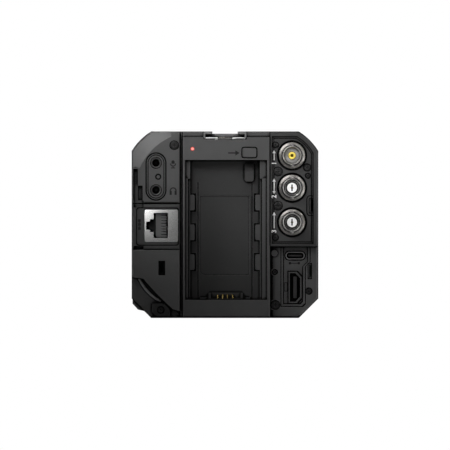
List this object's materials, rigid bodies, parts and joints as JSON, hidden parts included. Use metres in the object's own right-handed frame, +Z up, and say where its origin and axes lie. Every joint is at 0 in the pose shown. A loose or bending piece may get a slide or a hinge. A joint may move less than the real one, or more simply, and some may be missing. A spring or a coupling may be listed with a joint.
{
  "type": "box camera",
  "caption": "Box camera with a chamfered metal body, a lens mount in front, a battery bay and coaxial, audio, network, data and video sockets on its back.",
  "frame": {"origin": "mouth of the tripod thread in the underside of the base, below the lens axis", "axes": "+Z up, +Y forwards out of the lens mount, +X to the right as seen from the back of the camera"},
  "size_m": [0.093, 0.084, 0.093],
  "materials": {
    "cast_charcoal": "fine matt paint on a light metal casting",
    "plate_charcoal": "matt paint on pressed light metal plate",
    "back_charcoal": "fine spark-eroded texture, matt",
    "black_plastic": "satin black moulding",
    "black_rubber": "matt rubber with a fine grip texture",
    "record_red": "satin red moulding",
    "screw_black": "black oxide, satin",
    "steel_plain": "turned, satin",
    "mount_steel": "turned and plated, satin",
    "nickel": "turned, nickel plated, satin",
    "shoe_black": "black plated sheet steel",
    "spring_steel": "bright rolled spring steel",
    "socket_steel": "dark plated drawn shell",
    "gold": "gold plated",
    "insulator_grey": "matt grey insulator",
    "insulator_white": "white insulator, satin",
    "lamp_red": "lit red lens",
    "lamp_dark": "unlit dark red lens",
    "sensor_ceramic": "dark ceramic on a metal plate",
    "sensor_glass": "coated filter glass",
    "board_green": "circuit board",
    "sink_aluminium": "plain machined"
  },
  "bodies": {
    "camera_body": {"main_frame": "cast_charcoal", "front_cover": "cast_charcoal", "top_cover": "plate_charcoal", "base_plate": "plate_charcoal", "left_cover": "plate_charcoal", "right_cover": "plate_charcoal", "rear_frame": "back_charcoal", "audio_panel": "back_charcoal", "lan_panel": "back_charcoal", "lock_panel": "back_charcoal", "bnc_panel": "back_charcoal", "port_panel": "back_charcoal", "corner_anchor": "back_charcoal", "battery_terminal": "black_plastic", "lan_core": "black_plastic", "light_shield": "black_plastic", "lens_contact_block": "black_plastic", "fan_housing": "black_plastic", "audio_jacks": "black_plastic", "socket_tongues": "black_plastic", "card_sockets": "black_plastic", "corner_pad": "black_rubber", "corner_bead": "black_rubber", "side_screws": "screw_black", "rear_screws": "screw_black", "thread_inserts": "steel_plain", "lens_mount_screws": "steel_plain", "lock_slot_plate": "steel_plain", "lens_mount_ring": "mount_steel", "bnc_shells": "nickel", "bnc_nuts": "nickel", "lan_shield": "nickel", "hot_shoe_rails": "shoe_black", "hot_shoe_springs": "spring_steel", "data_socket_shell": "socket_steel", "video_socket_shell": "socket_steel", "battery_contacts": "gold", "lan_contacts": "gold", "bnc_contacts": "gold", "lens_contact_pins": "gold", "hot_shoe_contacts": "gold", "bnc_insulator_1": "insulator_grey", "bnc_insulators_2_3": "insulator_white", "status_led": "lamp_red", "front_lamp": "lamp_dark", "sensor_board": "sensor_ceramic", "sensor_glass": "sensor_glass", "main_board": "board_green", "io_board": "board_green", "heat_sink": "sink_aluminium"},
    "battery_release": {"battery_push_button": "black_plastic"},
    "battery_lock": {"battery_latch": "black_plastic"},
    "lens_release": {"lens_release_button": "black_plastic"},
    "lens_lock": {"lens_lock_pin": "steel_plain"},
    "record_key": {"record_button": "record_red"},
    "function_key_1": {"function_button_1": "black_plastic"},
    "function_key_2": {"function_button_2": "black_plastic"},
    "power_switch": {"power_slider": "black_plastic"},
    "door": {"card_door": "plate_charcoal"},
    "fan": {"fan_rotor": "black_plastic"}
  },
  "joints": [
    {"name": "battery_push", "type": "slide", "parent": "camera_body", "child": "battery_release", "axis": [0, 1, 0], "range_m": [0, 0.0015], "stiffness_N_per_m": 1500},
    {"name": "battery_latch_slide", "type": "slide", "parent": "camera_body", "child": "battery_lock", "axis": [0, 1, 0], "range_m": [0, 0.003]},
    {"name": "lens_release_push", "type": "slide", "parent": "camera_body", "child": "lens_release", "axis": [0, -1, 0], "range_m": [0, 0.0014], "stiffness_N_per_m": 1500},
    {"name": "lens_lock_slide", "type": "slide", "parent": "camera_body", "child": "lens_lock", "axis": [0, -1, 0], "range_m": [0, 0.0014]},
    {"name": "record_push", "type": "slide", "parent": "camera_body", "child": "record_key", "axis": [-1, 0, 0], "range_m": [0, 0.0006], "stiffness_N_per_m": 2500},
    {"name": "function_push_1", "type": "slide", "parent": "camera_body", "child": "function_key_1", "axis": [-1, 0, 0], "range_m": [0, 0.0006], "stiffness_N_per_m": 2500},
    {"name": "function_push_2", "type": "slide", "parent": "camera_body", "child": "function_key_2", "axis": [-1, 0, 0], "range_m": [0, 0.0006], "stiffness_N_per_m": 2500},
    {"name": "power_slide", "type": "slide", "parent": "camera_body", "child": "power_switch", "axis": [0, 1, 0], "range_m": [0, 0.005]},
    {"name": "card_door_hinge", "type": "hinge", "parent": "camera_body", "child": "door", "pos_m": [-0.0446, -0.017, 0.04875], "axis": [0, 0, 1], "range_deg": [0, 90]},
    {"name": "fan_spin", "type": "hinge", "parent": "camera_body", "child": "fan", "pos_m": [0, -0.011, 0.0465], "axis": [0, 1, 0], "continuous": true}
  ],
  "couplings": [
    {"joint": "battery_latch_slide", "follows": "battery_push", "ratio": 2},
    {"joint": "lens_lock_slide", "follows": "lens_release_push", "ratio": 1}
  ]
}
